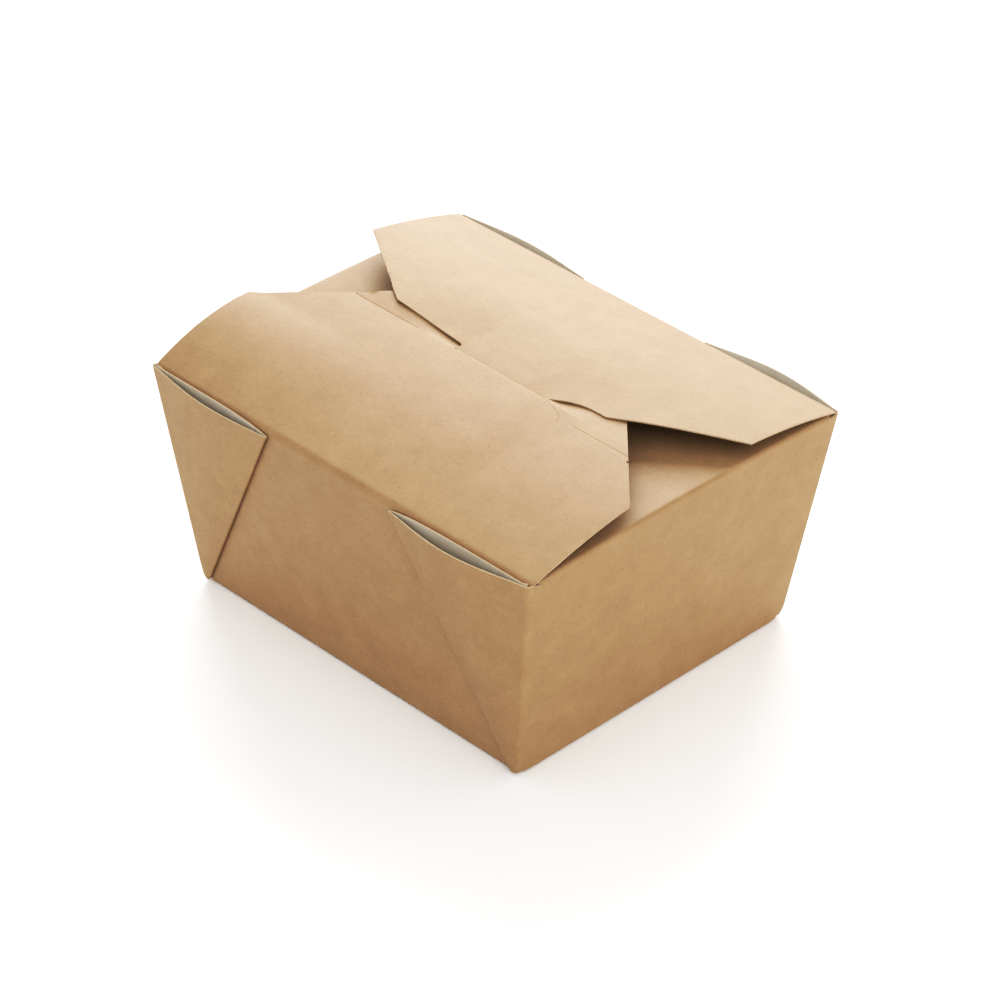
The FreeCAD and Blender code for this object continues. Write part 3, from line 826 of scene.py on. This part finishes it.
lock_spots = []
for x, y in lock_flat:
    twist = LOCK_TWIST * math.copysign(max(0.0, abs(x) - LOCK_TWIST_START), x)
    grown = min(1.0, (lock_start - y) / LOCK_TWIST_RUN)
    lock_spots.append((x, y, lock_level(x, y) - twist * grown))
locking_flap = board("locking_flap_board", lock_spots, lock_faces, "locking_flap")
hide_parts("locking_flap")


# Crease of the locking flap: the strip of the same card between the back wall and the flap.
# It is only pressed into the sheet.

crease_spots = []
crease_across = spread(-lock_half, lock_half, 67)
for y, level in lock_fold:
    crease_spots.extend((x, y, level) for x in crease_across)
count = len(crease_across)
crease_faces = [
    (row * count + spot + 1, row * count + spot,
     (row + 1) * count + spot, (row + 1) * count + spot + 1)
    for row in range(len(lock_fold) - 1)
    for spot in range(count - 1)
]
crease = board("locking_flap_crease", crease_spots, crease_faces, "locking_flap")
crease.parent = None
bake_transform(crease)


# Studio: a white floor that isn't part of the box, a white sky, a large soft light behind the
# box and a weaker one in front of it on the right. The camera stands where the photograph was
# taken from, as worked out from seven corners of the box.

def softbox(name, place, aim, width, height, power):
    """A rectangular soft light at a place, aimed at a spot of the box."""
    lamp = bpy.data.lights.new(name, "AREA")
    lamp.shape = "RECTANGLE"
    lamp.size = width
    lamp.size_y = height
    lamp.energy = power
    holder = bpy.data.objects.new(name, lamp)
    holder.location = place
    holder.rotation_mode = "QUATERNION"
    holder.rotation_quaternion = (Vector(aim) - Vector(place)).to_track_quat("-Z", "Y")
    bpy.context.scene.collection.objects.link(holder)
    return holder


FLOOR_HALF = 6.0
FLOOR_LEVEL = -0.0002
FLOOR_WHITE = (0.97, 0.97, 0.97, 1.0)
SKY_WHITE = (1.0, 1.0, 1.0, 1.0)
SKY_STRENGTH = 0.88
CONTRAST = ((0.07, 0.027), (0.17, 0.092), (0.42, 0.42), (0.70, 0.75))
LIGHT_AIM = (0.0, 0.0, 0.04)

floor_mesh = bpy.data.meshes.new("floor")
floor_corners = [
    (x * FLOOR_HALF, y * FLOOR_HALF, FLOOR_LEVEL) for x, y in ((-1, -1), (1, -1), (1, 1), (-1, 1))
]
floor_mesh.from_pydata(floor_corners, [], [(0, 1, 2, 3)])
floor = bpy.data.objects.new("floor", floor_mesh)
bpy.context.scene.collection.objects.link(floor)
floor_paint = bpy.data.materials.new("floor_paint")
floor_paint.use_nodes = True
floor_shader = floor_paint.node_tree.nodes["Principled BSDF"]
floor_shader.inputs["Base Color"].default_value = FLOOR_WHITE
floor_shader.inputs["Roughness"].default_value = 0.9
floor_shader.inputs["Specular IOR Level"].default_value = 0.1
floor_mesh.materials.append(floor_paint)

world = bpy.data.worlds.new("studio")
world.use_nodes = True
sky = world.node_tree.nodes["Background"]
sky.inputs["Color"].default_value = SKY_WHITE
sky.inputs["Strength"].default_value = SKY_STRENGTH
bpy.context.scene.world = world
bpy.context.scene.view_settings.view_transform = "Standard"
bpy.context.scene.view_settings.use_curve_mapping = True
tone = bpy.context.scene.view_settings.curve_mapping
for shade, shown in CONTRAST:
    tone.curves[3].points.new(shade, shown)
tone.update()

softbox("back_light", (-0.94, 0.94, 0.70), LIGHT_AIM, width=1.2, height=1.0, power=24.0)
softbox("front_light", (1.25, -0.50, 0.90), LIGHT_AIM, width=1.0, height=1.0, power=8.5)

AZIMUTH = math.radians(44.99)
ELEVATION = math.radians(34.46)
ROLL = math.radians(0.63)
CAMERA_DISTANCE = 16.45 * TRAY_HEIGHT
CAMERA_SHIFT = (0.036 * TRAY_HEIGHT, 0.391 * TRAY_HEIGHT)
LENS_RATIO = 4.074

back = Vector((
    math.sin(AZIMUTH) * math.cos(ELEVATION),
    -math.cos(AZIMUTH) * math.cos(ELEVATION),
    math.sin(ELEVATION),
))
level_right = Vector((0.0, 0.0, 1.0)).cross(back).normalized()
level_up = back.cross(level_right)
right = level_right * math.cos(ROLL) + level_up * math.sin(ROLL)
up = level_up * math.cos(ROLL) - level_right * math.sin(ROLL)
lens = bpy.data.cameras.new("camera")
lens.lens = LENS_RATIO * lens.sensor_width
lens.clip_start = 0.01
lens.clip_end = 20.0
camera = bpy.data.objects.new("camera", lens)
turn = Matrix((right, up, back)).transposed().to_4x4()
camera.matrix_world = Matrix.Translation(
    right * CAMERA_SHIFT[0] + up * CAMERA_SHIFT[1] + back * CAMERA_DISTANCE
) @ turn
bpy.context.scene.collection.objects.link(camera)
bpy.context.scene.camera = camera
